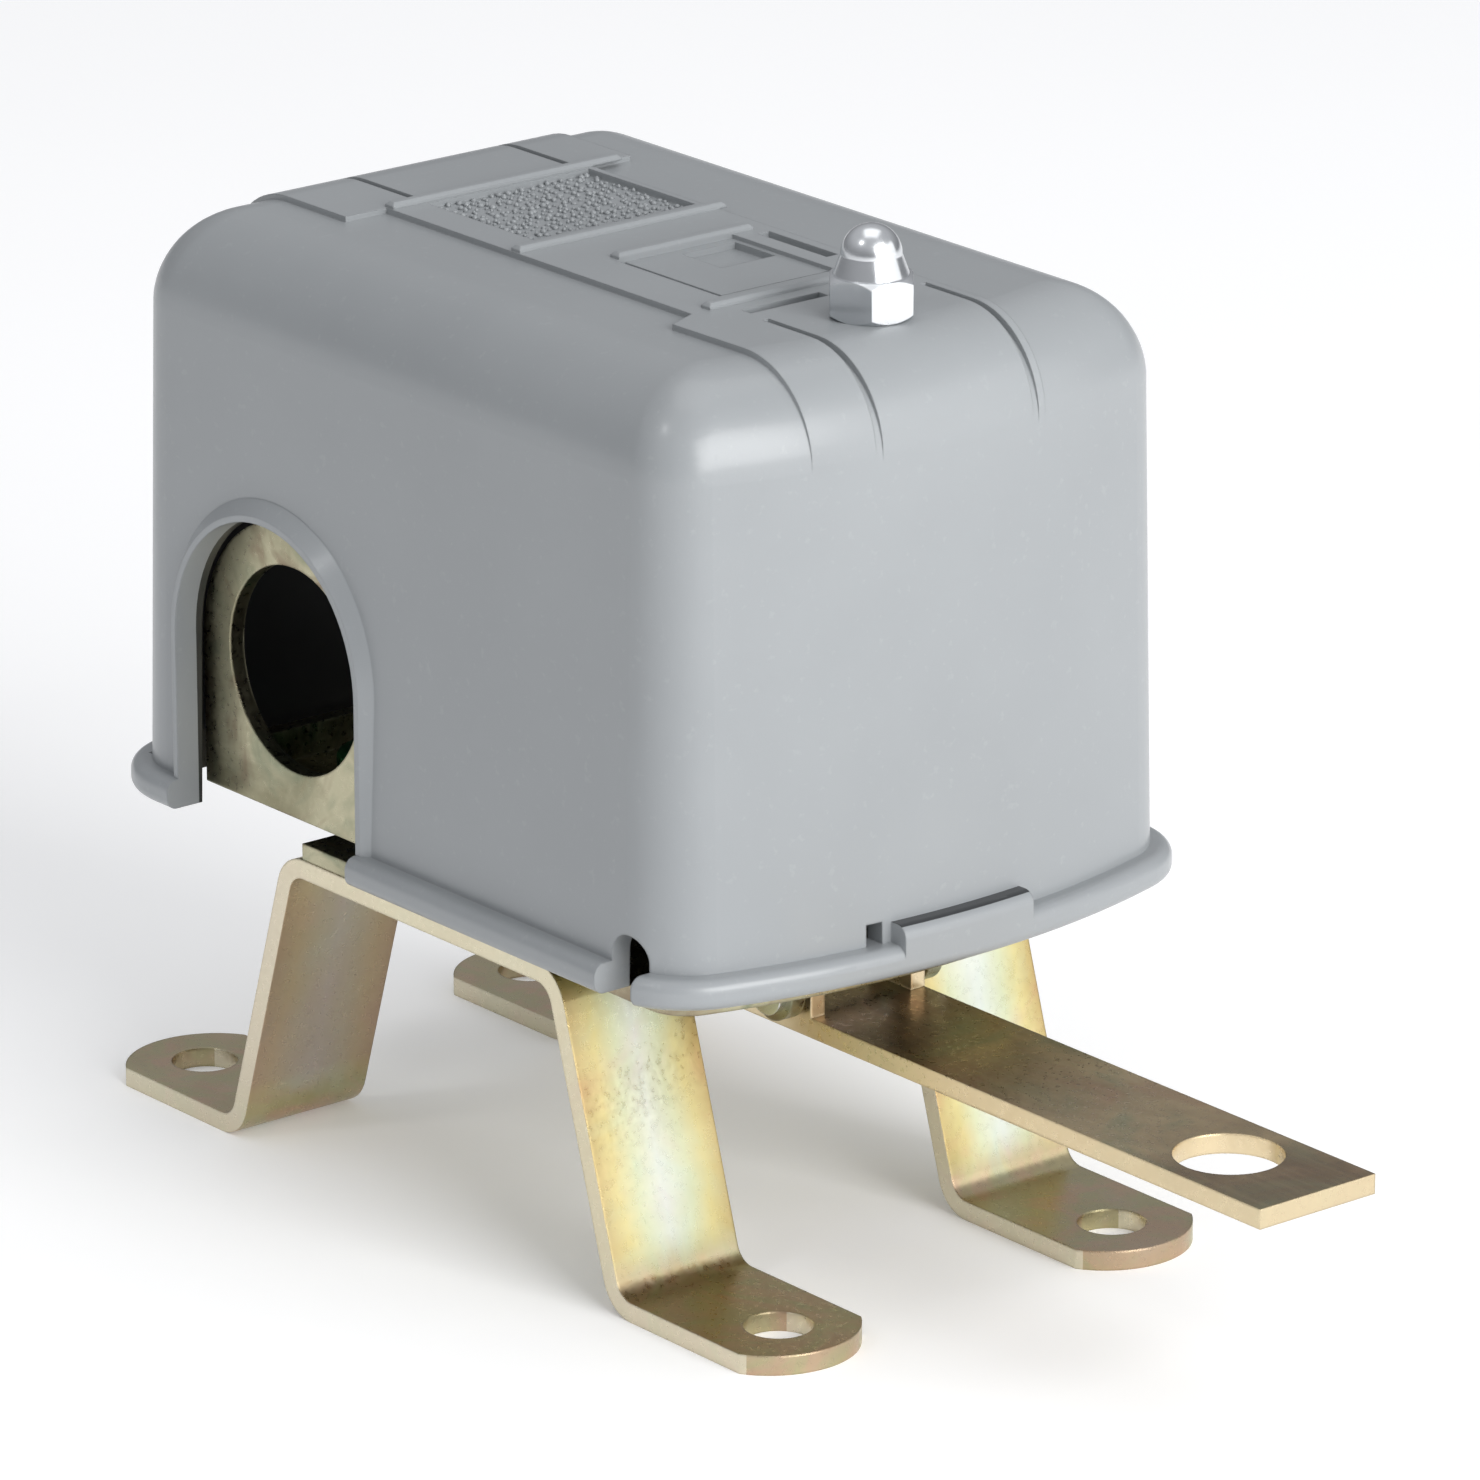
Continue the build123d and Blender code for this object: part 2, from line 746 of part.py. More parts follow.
with BuildPart() as contact_block:
    # Floor of the terminal shelf, and the cap in front of it
    with BuildSketch(Plane.XY.offset(block_bottom)):
        with Locations((block_rear, 0)):
            Rectangle(
                pocket_rear - block_rear, 2 * block_half_width, align=(Align.MIN, Align.CENTER)
            )
    extrude(amount=shelf_height - block_bottom)
    with BuildSketch(Plane.XY.offset(shelf_height)):
        with Locations((pocket_rear - cap_lap, 0)):
            Rectangle(
                block_front - pocket_rear + cap_lap,
                2 * block_half_width,
                align=(Align.MIN, Align.CENTER),
            )
    extrude(amount=block_top - shelf_height)
    fillet(
        contact_block.faces().sort_by(Axis.Z)[-1].edges().filter_by(Axis.Y), radius=block_round
    )
    # Walls between and beside the terminals
    with BuildSketch(Plane.XY.offset(shelf_height)):
        with Locations((block_rear, 0)):
            for barrier_y in barrier_ys:
                with Locations((0, barrier_y)):
                    Rectangle(
                        pocket_rear - block_rear,
                        barrier_thickness,
                        align=(Align.MIN, Align.CENTER),
                    )
            for side in (-1, 1):
                with Locations((0, side * (block_half_width - block_end_wall / 2))):
                    Rectangle(
                        pocket_rear - block_rear, block_end_wall, align=(Align.MIN, Align.CENTER)
                    )
    extrude(amount=block_cap_height - barrier_drop)
    # Cheeks along both sides: legs at the rear, pivot ears in front
    for side in (-1, 1):
        with BuildSketch(Plane.XZ.offset(-side * block_half_width)):
            with Locations((block_rear, plate_top)):
                Rectangle(
                    block_leg_length, shelf_height - plate_top, align=(Align.MIN, Align.MIN)
                )
            with Locations((block_rear, plate_top)):
                Rectangle(
                    block_foot_front - block_rear, block_foot_height, align=(Align.MIN, Align.MIN)
                )
            with Locations((block_rear, block_bottom)):
                Rectangle(
                    rocker_pivot_x - block_rear,
                    shelf_height - block_bottom,
                    align=(Align.MIN, Align.MIN),
                )
            with Locations((rocker_pivot_x, shelf_height)):
                Rectangle(
                    2 * rocker_ear_round,
                    shelf_height - rocker_pivot_z,
                    align=(Align.CENTER, Align.MAX),
                )
            with Locations((rocker_pivot_x, rocker_pivot_z)):
                Circle(rocker_ear_round)
                Circle(rocker_pin_diameter / 2 + fit_play, mode=Mode.SUBTRACT)
        extrude(amount=side * cheek_thickness)
    # Slots that hold the four terminal plates
    with BuildSketch(Plane.XY.offset(shelf_height)):
        for terminal_y in terminal_ys:
            with Locations((block_rear, terminal_y)):
                Rectangle(
                    terminal_front - block_rear + fit_play,
                    terminal_width + 2 * fit_play,
                    align=(Align.MIN, Align.CENTER),
                )
    extrude(amount=terminal_thickness + fit_play, mode=Mode.SUBTRACT)
    # Threaded holes under the terminal screws, and holes in the feet
    with BuildSketch(Plane.XY.offset(shelf_height - terminal_screw_depth)):
        for terminal_y in terminal_ys:
            with Locations((terminal_screw_x, terminal_y)):
                Circle(terminal_screw_diameter / 2 + fit_play)
    extrude(amount=terminal_screw_depth, mode=Mode.SUBTRACT)
    with BuildSketch(Plane.XY.offset(plate_top)):
        with Locations((block_screw_x, 0)):
            with GridLocations(0, 2 * block_screw_y, 1, 2):
                Circle(block_screw_diameter / 2 + fit_play)
    extrude(amount=block_foot_height, mode=Mode.SUBTRACT)
save(contact_block.part, "contact_block")

with BuildPart() as rocker_pin:
    with BuildSketch(Plane.XZ.offset(-block_half_width)):
        with Locations((rocker_pivot_x, rocker_pivot_z)):
            Circle(rocker_pin_diameter / 2)
    extrude(amount=2 * block_half_width)
save(rocker_pin.part, "rocker_pin")

with BuildPart() as terminal_plates:
    with BuildSketch(Plane.XY.offset(shelf_height)):
        for terminal_y in terminal_ys:
            with Locations((block_rear, terminal_y)):
                Rectangle(
                    terminal_front - block_rear, terminal_width, align=(Align.MIN, Align.CENTER)
                )
            with Locations((terminal_screw_x, terminal_y)):
                Circle(terminal_screw_diameter / 2 + fit_play, mode=Mode.SUBTRACT)
    extrude(amount=terminal_thickness)
save(terminal_plates.part, "terminal_plates")

with BuildPart() as fixed_contacts:
    with BuildSketch(Plane.XY.offset(fixed_contact_face)):
        for terminal_y in terminal_ys:
            with Locations((contact_x, terminal_y)):
                Circle(contact_radius)
    extrude(amount=contact_height)
    fillet(fixed_contacts.edges().group_by(Axis.Z)[0], radius=contact_edge_round)
save(fixed_contacts.part, "fixed_contacts")

with BuildPart() as wire_clamps:
    with BuildSketch(Plane.XY.offset(terminal_top)):
        for terminal_y in terminal_ys:
            with Locations((terminal_screw_x, terminal_y)):
                RectangleRounded(clamp_length, clamp_width, radius=clamp_round)
                Circle(terminal_screw_diameter / 2 + fit_play, mode=Mode.SUBTRACT)
    extrude(amount=clamp_thickness)
save(wire_clamps.part, "wire_clamps")


def screws(spots, seat, diameter, depth, head_diameter, head_height):
    """Pan-head screws with a cross slot, heads seated at one level."""
    with BuildPart() as group:
        with BuildSketch(Plane.XY.offset(seat)):
            with Locations(*spots):
                Circle(head_diameter / 2)
        extrude(amount=head_height)
        fillet(group.edges().group_by(Axis.Z)[-1], radius=head_height * screw_head_roundness)
        with BuildSketch(Plane.XY.offset(seat + head_height)):
            with Locations(*spots):
                Rectangle(head_diameter * slot_reach, slot_width)
                Rectangle(slot_width, head_diameter * slot_reach)
        extrude(amount=-head_height / 2, mode=Mode.SUBTRACT)
        with BuildSketch(Plane.XY.offset(seat)):
            with Locations(*spots):
                Circle(diameter / 2)
        extrude(amount=-depth)
    return group


terminal_spots = [(terminal_screw_x, terminal_y) for terminal_y in terminal_ys]
terminal_screws = screws(
    terminal_spots,
    terminal_top + clamp_thickness,
    terminal_screw_diameter,
    clamp_thickness + terminal_thickness + terminal_screw_depth - screw_tip_air,
    terminal_head_diameter,
    terminal_head_height,
)
save(terminal_screws.part, "terminal_screws")

block_spots = [(block_screw_x, side * block_screw_y) for side in (-1, 1)]
block_screws = screws(
    block_spots,
    plate_top + block_foot_height,
    block_screw_diameter,
    block_foot_height + plate_thickness,
    block_head_diameter,
    block_head_height,
)
save(block_screws.part, "contact_block_screws")

ground_spots = [(ground_screw_x, side * ground_screw_y) for side in (-1, 1)]
ground_screws = screws(
    ground_spots,
    plate_top,
    ground_screw_diameter,
    plate_thickness + ground_screw_tail,
    ground_head_diameter,
    ground_head_height,
)
save(ground_screws.part, "ground_screws")

# ---- contact arm -----------------------------------------------------------

bridge_top = fixed_contact_face - contact_travel - contact_air - contact_height
bridge_bottom = bridge_top - bridge_thickness
rocker_top = rocker_pivot_z + rocker_thickness / 2
rocker_bottom = rocker_pivot_z - rocker_thickness / 2
bridge_ys = (
    (terminal_ys[0] + terminal_ys[1]) / 2,
    (terminal_ys[2] + terminal_ys[3]) / 2,
)
bridge_length = terminal_ys[1] - terminal_ys[0] + 2 * contact_radius + bridge_margin

with BuildPart() as contact_rocker:
    with BuildSketch(Plane.XZ.offset(-rocker_half_width)):
        with Locations((rocker_rear, rocker_bottom)):
            Rectangle(
                rocker_pivot_x - rocker_rear, rocker_thickness, align=(Align.MIN, Align.MIN)
            )
        with Locations((rocker_pivot_x, rocker_pivot_z)):
            Circle(rocker_front - rocker_pivot_x)
            Circle(rocker_pin_diameter / 2 + running_play, mode=Mode.SUBTRACT)
    extrude(amount=2 * rocker_half_width)
    # Middle window that clears the two springs' tops and saves weight
    with BuildSketch(Plane.XY.offset(rocker_bottom)):
        with Locations(((contact_x + rocker_pivot_x) / 2, 0)):
            with GridLocations(0, 2 * rocker_window_y, 1, 2):
                RectangleRounded(rocker_window_length, rocker_window_width, radius=clamp_round)
    extrude(amount=rocker_thickness, mode=Mode.SUBTRACT)
    # Guide pegs for the contact springs
    with BuildSketch(Plane.XY.offset(rocker_top)):
        for bridge_y in bridge_ys:
            with Locations((contact_x, bridge_y)):
                Circle(peg_diameter / 2)
    extrude(amount=bridge_top + peg_stand - rocker_top)
save(contact_rocker.part, "contact_rocker")

with BuildPart() as contact_bridges:
    with BuildSketch(Plane.XY.offset(bridge_bottom)):
        for bridge_y in bridge_ys:
            with Locations((contact_x, bridge_y)):
                Rectangle(bridge_width, bridge_length)
                Circle(peg_diameter / 2 + running_play, mode=Mode.SUBTRACT)
    extrude(amount=bridge_thickness)
    fillet(contact_bridges.edges().filter_by(Axis.Z), radius=bridge_round)
save(contact_bridges.part, "contact_bridges")

with BuildPart() as moving_contacts:
    with BuildSketch(Plane.XY.offset(bridge_top)):
        for terminal_y in terminal_ys:
            with Locations((contact_x, terminal_y)):
                Circle(contact_radius)
    extrude(amount=contact_height)
    fillet(moving_contacts.edges().group_by(Axis.Z)[-1], radius=contact_edge_round)
save(moving_contacts.part, "moving_contacts")

contact_spring_height = bridge_bottom - rocker_top
for number, bridge_y in enumerate(bridge_ys, start=1):
    contact_spring = coil_spring(
        contact_x,
        bridge_y,
        rocker_top,
        contact_spring_height,
        contact_coil_radius,
        contact_wire,
        contact_turns,
    )
    save(contact_spring.part, f"contact_spring_{number}")

toggle_spring = coil_spring(
    toggle_x,
    0,
    channel_top,
    rocker_bottom - channel_top,
    toggle_coil_radius,
    toggle_wire,
    toggle_turns,
)
save(toggle_spring.part, "toggle_spring")

# ---- cover -----------------------------------------------------------------


def tapered_body(inset, bottom, top, edge_round):
    """The cover's plan drawn up with draft and a round top edge."""
    outline = plan_outline(inset)
    with BuildPart() as body:
        with BuildSketch(Plane.XY.offset(bottom)):
            add(outline)
        extrude(amount=top - bottom, taper=cover_draft)
        fillet(body.faces().sort_by(Axis.Z)[-1].edges(), radius=edge_round)
    return body.part


outer_skin = tapered_body(0, cover_bottom, cover_top, cover_top_fillet)
raised_skin = tapered_body(0, cover_bottom, panel_top, cover_top_fillet)
grooved_skin = tapered_body(0, cover_bottom, panel_top - groove_depth, cover_top_fillet)
inner_space = tapered_body(
    cover_wall, cover_bottom, cover_top - cover_wall, cover_top_fillet - cover_wall
)
rim_outline = plan_outline(-rim_reach)

panel_rear = cover_rear + panel_rear_inset
panel_front = cover_front + panel_front_run
panel_outline = [
    (panel_rear, panel_rear_ys[0]),
    (panel_step_x, panel_rear_ys[0]),
    (panel_step_x, panel_step_ys[0]),
    (panel_jog_xs[0], panel_step_ys[0]),
    (panel_jog_xs[1], panel_jog_y),
    (panel_front, panel_front_y),
    (panel_front, panel_step_ys[1]),
    (panel_step_x, panel_step_ys[1]),
    (panel_step_x, panel_rear_ys[1]),
    (panel_rear, panel_rear_ys[1]),
]

# Raised panel along the top, which fades out over the round edges
with BuildPart() as top_panel:
    with BuildSketch(Plane.XY.offset(panel_foot)):
        with BuildLine():
            Polyline(*panel_outline, close=True)
        make_face()
    extrude(amount=panel_top - panel_foot)
    add(raised_skin, mode=Mode.INTERSECT)

# Two narrow grooves from the panel down over the front edge
with BuildPart() as front_grooves:
    with BuildSketch(Plane.XY.offset(panel_foot)):
        for groove_start, groove_y in zip(groove_start_xs, groove_ys):
            with Locations((groove_start, groove_y)):
                Rectangle(cover_front, groove_width, align=(Align.MIN, Align.CENTER))
    extrude(amount=panel_top - panel_foot)
    add(grooved_skin, mode=Mode.SUBTRACT)

# Low ridges across the panel
with BuildPart() as panel_ridges:
    with BuildSketch(Plane.XY.offset(panel_top)):
        for ridge_x, ridge_y, ridge_length in ridges:
            with Locations((ridge_x, ridge_y)):
                Rectangle(ridge_width, ridge_length)
    extrude(amount=ridge_height)
    chamfer(panel_ridges.edges().group_by(Axis.Z)[-1], length=ridge_bevel)

with BuildPart() as rim_bead:
    with BuildSketch(Plane.XY.offset(cover_bottom)):
        add(rim_outline)
    extrude(amount=rim_height)
    fillet(rim_bead.edges().group_by(Axis.Z)[-1], radius=rim_round)
    fillet(rim_bead.edges().group_by(Axis.Z)[0], radius=rim_foot_round)

with BuildPart() as front_tab:
    with BuildSketch(Plane.XY.offset(cover_bottom + rim_foot_round)):
        add(rim_outline)
        with Locations((cover_front, 0)):
            Rectangle(2 * cover_corner_radius, 2 * front_tab_half, mode=Mode.INTERSECT)
    extrude(amount=rim_height - rim_foot_round + front_tab_rise)
    fillet(front_tab.edges().group_by(Axis.Z)[-1].sort_by(Axis.X)[-1], radius=rim_round)


def arch_lip_ring(side):
    """Upright pad with a bevelled edge round one conduit arch."""
    with BuildPart() as lip:
        with BuildSketch(Plane.XZ.offset(-side * (cover_half_width + lip_stand))):
            with Locations((arch_x, arch_z)):
                Circle(arch_radius + arch_lip)
            with Locations((arch_x, cover_bottom + rim_foot_round)):
                Rectangle(
                    2 * (arch_radius + arch_lip),
                    arch_z - cover_bottom - rim_foot_round,
                    align=(Align.CENTER, Align.MIN),
                )
        extrude(amount=side * cover_wall)
        outside = lip.faces().sort_by(Axis.Y)[-1 if side > 0 else 0]
        chamfer(outside.edges(), length=lip_bevel)
    return lip.part


with BuildPart() as cover:
    add(outer_skin)
    add(top_panel.part)
    add(rim_bead.part)
    add(front_tab.part)
    for side in (-1, 1):
        add(arch_lip_ring(side))
    add(inner_space, mode=Mode.SUBTRACT)
    # Seats inside the wall, which stand on the floor plate
    with BuildSketch(Plane.XY.offset(plate_top)):
        with GridLocations(0, 2 * (plate_half_width + seat_reach - seat_overlap), 1, 2):
            with Locations((side_seat_x, 0)):
                Rectangle(seat_width, 2 * seat_reach)
        with Locations((front_seat_x, 0)):
            with GridLocations(0, 2 * front_seat_y, 1, 2):
                Rectangle(front_seat_length, seat_width, align=(Align.MIN, Align.CENTER))
    extrude(amount=seat_height)
    # Conduit arches, open down through the rim
    for side in (-1, 1):
        with BuildSketch(Plane.XZ.offset(-side * (cover_half_width + rim_reach + lip_stand))):
            with Locations((arch_x, arch_z)):
                Circle(arch_radius)
            with Locations((arch_x, plate_top)):
                Rectangle(2 * arch_radius, arch_z - plate_top, align=(Align.CENTER, Align.MIN))
        extrude(amount=side * arch_cut, mode=Mode.SUBTRACT)
    # Small round-topped notch at the near front corner
    with BuildSketch(Plane.XZ.offset(cover_half_width + rim_reach)):
        with Locations((notch_x, notch_top - notch_radius)):
            Circle(notch_radius)
        with Locations((notch_x, plate_top)):
            Rectangle(
                2 * notch_radius,
                notch_top - notch_radius - plate_top,
                align=(Align.CENTER, Align.MIN),
            )
    extrude(amount=-notch_cut, mode=Mode.SUBTRACT)
    # Square vent beside the front tab
    with BuildSketch(Plane.YZ.offset(cover_front + rim_reach)):
        with Locations((vent_y, cover_bottom + rim_height)):
            Rectangle(vent_width, vent_height, align=(Align.CENTER, Align.MIN))
    extrude(amount=-notch_cut, mode=Mode.SUBTRACT)
    # Hole for the range stud
    with BuildSketch(Plane.XY.offset(panel_top)):
        with Locations((stud_x, 0)):
            Circle(stud_neck_diameter / 2 + cover_hole_play)
    extrude(amount=-cover_height, mode=Mode.SUBTRACT)
    # Grooves over the front edge and two more at the rear of the panel
    add(front_grooves.part, mode=Mode.SUBTRACT)
    with BuildSketch(Plane.XY.offset(panel_top)):
        for groove_y in groove_ys:
            with Locations((cover_rear, groove_y)):
                Rectangle(
                    rear_groove_end - cover_rear, groove_width, align=(Align.MIN, Align.CENTER)
                )
    extrude(amount=-rear_groove_depth, mode=Mode.SUBTRACT)
    # Blank label recess between the two rear ridges
    add(panel_ridges.part)
    with BuildSketch(Plane.XY.offset(panel_top)):
        with Locations((label_x, label_y)):
            Rectangle(label_length, label_width)
    extrude(amount=-label_depth, mode=Mode.SUBTRACT)
    # Shallow pocket with a deeper groove along its near and front sides
    with BuildSketch(Plane.XY.offset(panel_top)):
        with Locations((pocket_x, pocket_y)):
            Rectangle(pocket_length, pocket_width)
    extrude(amount=-pocket_depth, mode=Mode.SUBTRACT)
    with BuildSketch(Plane.XY.offset(panel_top)):
        with Locations((pocket_x + pocket_length / 2, pocket_y - pocket_width / 2)):
            Rectangle(pocket_length, pocket_groove_width, align=(Align.MAX, Align.MIN))
            Rectangle(pocket_groove_width, pocket_width, align=(Align.MAX, Align.MIN))
    extrude(amount=-pocket_groove_depth, mode=Mode.SUBTRACT)
    with BuildSketch(Plane.XY.offset(panel_top)):
        with Locations((dimple_x, dimple_y)):
            Rectangle(dimple_length, dimple_width)
    extrude(amount=-dimple_depth, mode=Mode.SUBTRACT)
    # Two slots beside the pocket
    with BuildSketch(Plane.XY.offset(panel_top)):
        with Locations((side_slot_x, side_slot_y)):
            Rectangle(side_slot_length, top_slot_width)
        with Locations((cross_slot_x, cross_slot_y)):
            Rectangle(top_slot_width, cross_slot_length)
    extrude(amount=-top_slot_depth, mode=Mode.SUBTRACT)
save(cover.part, "cover")

# ---- acorn nut -------------------------------------------------------------

acorn_corner = acorn_flats / math.sqrt(3)
with BuildPart() as acorn_nut:
    with BuildSketch(Plane.XY.offset(panel_top)):
        with Locations((stud_x, 0)):
            RegularPolygon(acorn_flats / 2, 6, major_radius=False, rotation=acorn_turn)
    extrude(amount=acorn_hex_height)
    # Cones that round off the hexagon's corners
    with BuildSketch(Plane.XZ):
        with BuildLine():
            Polyline(
                (stud_x, panel_top),
                (stud_x + acorn_flats / 2, panel_top),
                (stud_x + acorn_corner, panel_top + acorn_cone),
                (stud_x + acorn_corner, panel_top + acorn_hex_height - acorn_cone),
                (stud_x + acorn_flats / 2, panel_top + acorn_hex_height),
                (stud_x, panel_top + acorn_hex_height),
                close=True,
            )
        make_face()
    revolve(axis=Axis((stud_x, 0, 0), (0, 0, 1)), mode=Mode.INTERSECT)
    # Dome on a shoulder that tapers from the hexagon
    dome_radius = acorn_dome_diameter / 2
    dome_spring = panel_top + acorn_height - dome_radius
    with BuildSketch(Plane.XZ):
        with BuildLine():
            Polyline(
                (stud_x, dome_spring + dome_radius),
                (stud_x, panel_top + acorn_cone),
                (stud_x + acorn_shoulder_diameter / 2, panel_top + acorn_cone),
                (stud_x + acorn_shoulder_diameter / 2, panel_top + acorn_hex_height),
                (stud_x + dome_radius, dome_spring),
            )
            RadiusArc(
                (stud_x + dome_radius, dome_spring),
                (stud_x, dome_spring + dome_radius),
                -dome_radius,
            )
        make_face()
    revolve(axis=Axis((stud_x, 0, 0), (0, 0, 1)))
    with BuildSketch(Plane.XY.offset(panel_top)):
        with Locations((stud_x, 0)):
            Circle(stud_neck_diameter / 2 + running_play)
    extrude(amount=stud_top - panel_top + screw_tip_air, mode=Mode.SUBTRACT)
save(acorn_nut.part, "acorn_nut")
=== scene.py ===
import json
import math
import random

import bpy
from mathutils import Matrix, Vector


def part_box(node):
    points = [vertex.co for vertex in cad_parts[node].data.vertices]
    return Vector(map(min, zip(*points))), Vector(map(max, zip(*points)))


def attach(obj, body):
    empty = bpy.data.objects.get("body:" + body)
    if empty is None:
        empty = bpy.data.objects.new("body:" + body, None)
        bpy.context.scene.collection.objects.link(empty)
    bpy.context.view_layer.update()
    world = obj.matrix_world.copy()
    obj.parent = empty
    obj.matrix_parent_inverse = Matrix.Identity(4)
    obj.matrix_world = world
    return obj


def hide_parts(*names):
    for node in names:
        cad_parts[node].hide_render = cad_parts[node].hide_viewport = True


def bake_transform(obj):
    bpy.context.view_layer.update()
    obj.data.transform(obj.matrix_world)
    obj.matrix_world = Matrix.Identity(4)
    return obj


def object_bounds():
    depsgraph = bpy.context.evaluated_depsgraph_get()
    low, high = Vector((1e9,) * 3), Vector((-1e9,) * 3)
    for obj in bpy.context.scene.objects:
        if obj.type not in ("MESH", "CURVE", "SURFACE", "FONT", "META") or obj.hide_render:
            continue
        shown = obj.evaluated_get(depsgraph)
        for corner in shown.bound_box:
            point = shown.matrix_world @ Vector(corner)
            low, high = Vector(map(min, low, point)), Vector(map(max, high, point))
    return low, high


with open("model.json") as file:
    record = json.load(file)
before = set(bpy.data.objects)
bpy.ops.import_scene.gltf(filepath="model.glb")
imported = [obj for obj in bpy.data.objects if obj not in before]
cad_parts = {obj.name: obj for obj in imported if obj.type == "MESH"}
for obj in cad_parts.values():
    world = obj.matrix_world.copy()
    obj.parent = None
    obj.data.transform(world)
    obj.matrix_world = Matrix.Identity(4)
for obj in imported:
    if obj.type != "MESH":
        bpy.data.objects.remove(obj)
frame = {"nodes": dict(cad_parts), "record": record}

# Looks of a lever-operated float switch. Metres, +Z up, in the CAD model's own frame.

cad_low, cad_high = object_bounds()
nodes = frame["nodes"]


def middle(node):
    """Centre of a CAD node's box."""
    low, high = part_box(node)
    return (low + high) / 2


strap_low, strap_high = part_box("left_mounting_strap")
strap_middle_y = abs((strap_low.y + strap_high.y) / 2)
strap_half_width = (strap_high.y - strap_low.y) / 2
strap_top = strap_high.z
cover_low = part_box("cover")[0]
# Bounds of the painted shade inside the cover:
rim_clearance = 0.0056          # above the rim bead and the front tab
inner_half_width = 0.0315       # a little wider than the cover's inner walls
inner_middle_x = -0.0022        # middle of the stretch between the rear wall and the tab
inner_half_length = 0.0424
inner_wall_height = 0.050       # from the rim to where the roof begins to round over

# ---- small node helpers ----------------------------------------------------


class Painter:
    """Builds one procedural material, node by node."""

    def __init__(self, name):
        self.material = bpy.data.materials.new(name)
        self.material.use_nodes = True
        self.tree = self.material.node_tree
        self.shader = self.tree.nodes["Principled BSDF"]
        self.place = self.node("ShaderNodeTexCoord").outputs["Object"]

    def node(self, kind, **settings):
        made = self.tree.nodes.new(kind)
        for key, value in settings.items():
            setattr(made, key, value)
        return made

    def link(self, source, target):
        if isinstance(source, (int, float)):
            target.default_value = source
        else:
            self.tree.links.new(source, target)

    def math(self, operation, a, b=0.0):
        made = self.node("ShaderNodeMath", operation=operation)
        self.link(a, made.inputs[0])
        self.link(b, made.inputs[1])
        return made.outputs[0]

    def stretched(self, scale):
        """The position, stretched by a factor along each axis."""
        mapping = self.node("ShaderNodeMapping")
        mapping.inputs["Scale"].default_value = scale
        self.tree.links.new(self.place, mapping.inputs["Vector"])
        return mapping.outputs["Vector"]

    def noise(self, scale, detail=4.0, roughness=0.55, stretch=None, distortion=0.0):
        made = self.node("ShaderNodeTexNoise")
        self.tree.links.new(self.stretched(stretch) if stretch else self.place, made.inputs["Vector"])
        made.inputs["Scale"].default_value = scale
        made.inputs["Detail"].default_value = detail
        made.inputs["Roughness"].default_value = roughness
        made.inputs["Distortion"].default_value = distortion
        return made.outputs["Fac"]

    def ramp(self, value, stops):
        """Colours or greys at given places along a value."""
        made = self.node("ShaderNodeValToRGB")
        elements = made.color_ramp.elements
        while len(elements) < len(stops):
            elements.new(0.5)
        for element, (place, colour) in zip(elements, stops):
            element.position = place
            if isinstance(colour, (int, float)):
                colour = (colour, colour, colour)
            element.color = (*colour, 1.0)
        self.link(value, made.inputs["Fac"])
        return made.outputs["Color"]

    def mix(self, share, first, second, blend_type="MIX"):
        made = self.node("ShaderNodeMix", data_type="RGBA", blend_type=blend_type)
        self.link(share, made.inputs[0])
        for socket, value in ((made.inputs[6], first), (made.inputs[7], second)):
            if isinstance(value, tuple):
                socket.default_value = (*value, 1.0)
            else:
                self.tree.links.new(value, socket)
        return made.outputs[2]

    def axis(self, name):
        parts = self.node("ShaderNodeSeparateXYZ")
        self.tree.links.new(self.place, parts.inputs[0])
        return parts.outputs[name]

    def facing(self, name):
        """Part of the surface normal along one axis."""
        parts = self.node("ShaderNodeSeparateXYZ")
        self.tree.links.new(self.node("ShaderNodeNewGeometry").outputs["Normal"], parts.inputs[0])
        return parts.outputs[name]

    def relief(self, height, strength, distance, edge=0.0):
        """Fine surface relief, over a softened edge where edge is its radius."""
        bump = self.node("ShaderNodeBump")
        bump.inputs["Strength"].default_value = strength
        bump.inputs["Distance"].default_value = distance
        self.link(height, bump.inputs["Height"])
        if edge:
            bevel = self.node("ShaderNodeBevel", samples=4)
            bevel.inputs["Radius"].default_value = edge
            self.tree.links.new(bevel.outputs["Normal"], bump.inputs["Normal"])
        self.tree.links.new(bump.outputs["Normal"], self.shader.inputs["Normal"])

    def finish(self, colour, roughness, metallic=0.0, **constants):
        target = self.shader.inputs["Base Color"]
        if isinstance(colour, tuple):
            target.default_value = (*colour, 1.0)
        else:
            self.tree.links.new(colour, target)
        self.link(roughness, self.shader.inputs["Roughness"])
        self.shader.inputs["Metallic"].default_value = metallic
        for name, value in constants.items():
            self.shader.inputs[name.replace("_", " ")].default_value = value
        return self.material


# ---- materials -------------------------------------------------------------


def raw_axis(p, name):
    """One axis of the true position, whatever offset the patches use."""
    parts = p.node("ShaderNodeSeparateXYZ")
    p.tree.links.new(p.node("ShaderNodeTexCoord").outputs["Object"], parts.inputs[0])
    return parts.outputs[name]


